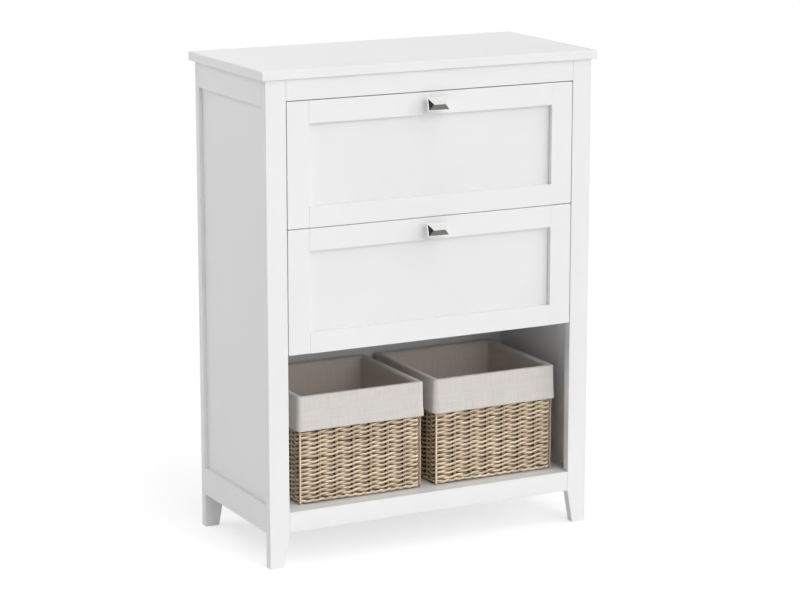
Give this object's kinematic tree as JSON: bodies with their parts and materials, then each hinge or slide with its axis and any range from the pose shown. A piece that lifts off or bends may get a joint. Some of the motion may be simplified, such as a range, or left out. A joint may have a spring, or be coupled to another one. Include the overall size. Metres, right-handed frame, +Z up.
{
  "type": "bathroom cabinet",
  "caption": "Freestanding white bathroom cabinet: overhanging top, framed drawers on roller slides, an open bay with lined woven baskets, framed sides and tapered legs.",
  "frame": {"origin": "middle of the footprint, knobs included, on the floor", "axes": "+Z up, -Y to the front that the drawers open toward, +X to the right seen from the front"},
  "size_m": [0.6, 0.306, 0.8],
  "materials": {
    "white_board": "satin white paint",
    "white_hardboard": "satin white paint",
    "nickel": "satin nickel",
    "slide_steel": "white powder coat",
    "nylon": "matt",
    "zinc": "bright zinc",
    "beech": "bare wood",
    "wicker": "dry natural cane",
    "linen": "plain weave"
  },
  "bodies": {
    "carcass": {"back_panel": "white_hardboard", "bottom_shelf": "white_board", "divider_shelf": "white_board", "front_left_leg": "white_board", "front_lower_rail": "white_board", "front_right_leg": "white_board", "front_upper_rail": "white_board", "left_lower_side_rail": "white_board", "left_side_panel": "white_board", "left_upper_side_rail": "white_board", "lower_left_batten": "beech", "lower_left_cabinet_rail": "slide_steel", "lower_right_batten": "beech", "lower_right_cabinet_rail": "slide_steel", "rear_left_leg": "white_board", "rear_lower_rail": "white_board", "rear_right_leg": "white_board", "rear_upper_rail": "white_board", "right_lower_side_rail": "white_board", "right_side_panel": "white_board", "right_upper_side_rail": "white_board", "top_panel": "white_board", "upper_left_batten": "beech", "upper_left_cabinet_rail": "slide_steel", "upper_right_batten": "beech", "upper_right_cabinet_rail": "slide_steel"},
    "upper_drawer": {"upper_drawer_back": "white_board", "upper_drawer_bottom": "white_hardboard", "upper_drawer_left_side": "white_board", "upper_drawer_right_side": "white_board", "upper_front_bottom_rail": "white_board", "upper_front_left_stile": "white_board", "upper_front_panel": "white_hardboard", "upper_front_right_stile": "white_board", "upper_front_top_rail": "white_board", "upper_knob": "nickel", "upper_knob_screw": "zinc", "upper_left_drawer_rail": "slide_steel", "upper_right_drawer_rail": "slide_steel"},
    "upper_front_rollers": {"upper_cabinet_rollers": "nylon"},
    "upper_rear_rollers": {"upper_drawer_rollers": "nylon"},
    "lower_drawer": {"lower_drawer_back": "white_board", "lower_drawer_bottom": "white_hardboard", "lower_drawer_left_side": "white_board", "lower_drawer_right_side": "white_board", "lower_front_bottom_rail": "white_board", "lower_front_left_stile": "white_board", "lower_front_panel": "white_hardboard", "lower_front_right_stile": "white_board", "lower_front_top_rail": "white_board", "lower_knob": "nickel", "lower_knob_screw": "zinc", "lower_left_drawer_rail": "slide_steel", "lower_right_drawer_rail": "slide_steel"},
    "lower_front_rollers": {"lower_cabinet_rollers": "nylon"},
    "lower_rear_rollers": {"lower_drawer_rollers": "nylon"},
    "left_basket": {"left_basket_liner": "linen", "left_basket_weave": "wicker"},
    "right_basket": {"right_basket_liner": "linen", "right_basket_weave": "wicker"}
  },
  "joints": [
    {"name": "upper_drawer_slide", "type": "slide", "parent": "carcass", "child": "upper_drawer", "axis": [0, -1, 0], "range_m": [0, 0.18]},
    {"name": "upper_front_roller_turn", "type": "hinge", "parent": "carcass", "child": "upper_front_rollers", "pos_m": [0, -0.103, 0.5762], "axis": [1, 0, 0], "range_deg": [-5, 1380]},
    {"name": "upper_rear_roller_turn", "type": "hinge", "parent": "upper_drawer", "child": "upper_rear_rollers", "pos_m": [0, 0.098, 0.5738], "axis": [1, 0, 0], "range_deg": [-5, 1380]},
    {"name": "lower_drawer_slide", "type": "slide", "parent": "carcass", "child": "lower_drawer", "axis": [0, -1, 0], "range_m": [0, 0.18]},
    {"name": "lower_front_roller_turn", "type": "hinge", "parent": "carcass", "child": "lower_front_rollers", "pos_m": [0, -0.103, 0.3742], "axis": [1, 0, 0], "range_deg": [-5, 1380]},
    {"name": "lower_rear_roller_turn", "type": "hinge", "parent": "lower_drawer", "child": "lower_rear_rollers", "pos_m": [0, 0.098, 0.3718], "axis": [1, 0, 0], "range_deg": [-5, 1380]},
    {"name": "left_basket_pull", "type": "slide", "parent": "carcass", "child": "left_basket", "axis": [0, -1, 0], "range_m": [0, 0.24]},
    {"name": "right_basket_pull", "type": "slide", "parent": "carcass", "child": "right_basket", "axis": [0, -1, 0], "range_m": [0, 0.24]}
  ],
  "couplings": [
    {"joint": "upper_front_roller_turn", "follows": "upper_drawer_slide", "rad_per_m": 133.33},
    {"joint": "upper_rear_roller_turn", "follows": "upper_drawer_slide", "rad_per_m": 133.33},
    {"joint": "lower_front_roller_turn", "follows": "lower_drawer_slide", "rad_per_m": 133.33},
    {"joint": "lower_rear_roller_turn", "follows": "lower_drawer_slide", "rad_per_m": 133.33}
  ]
}
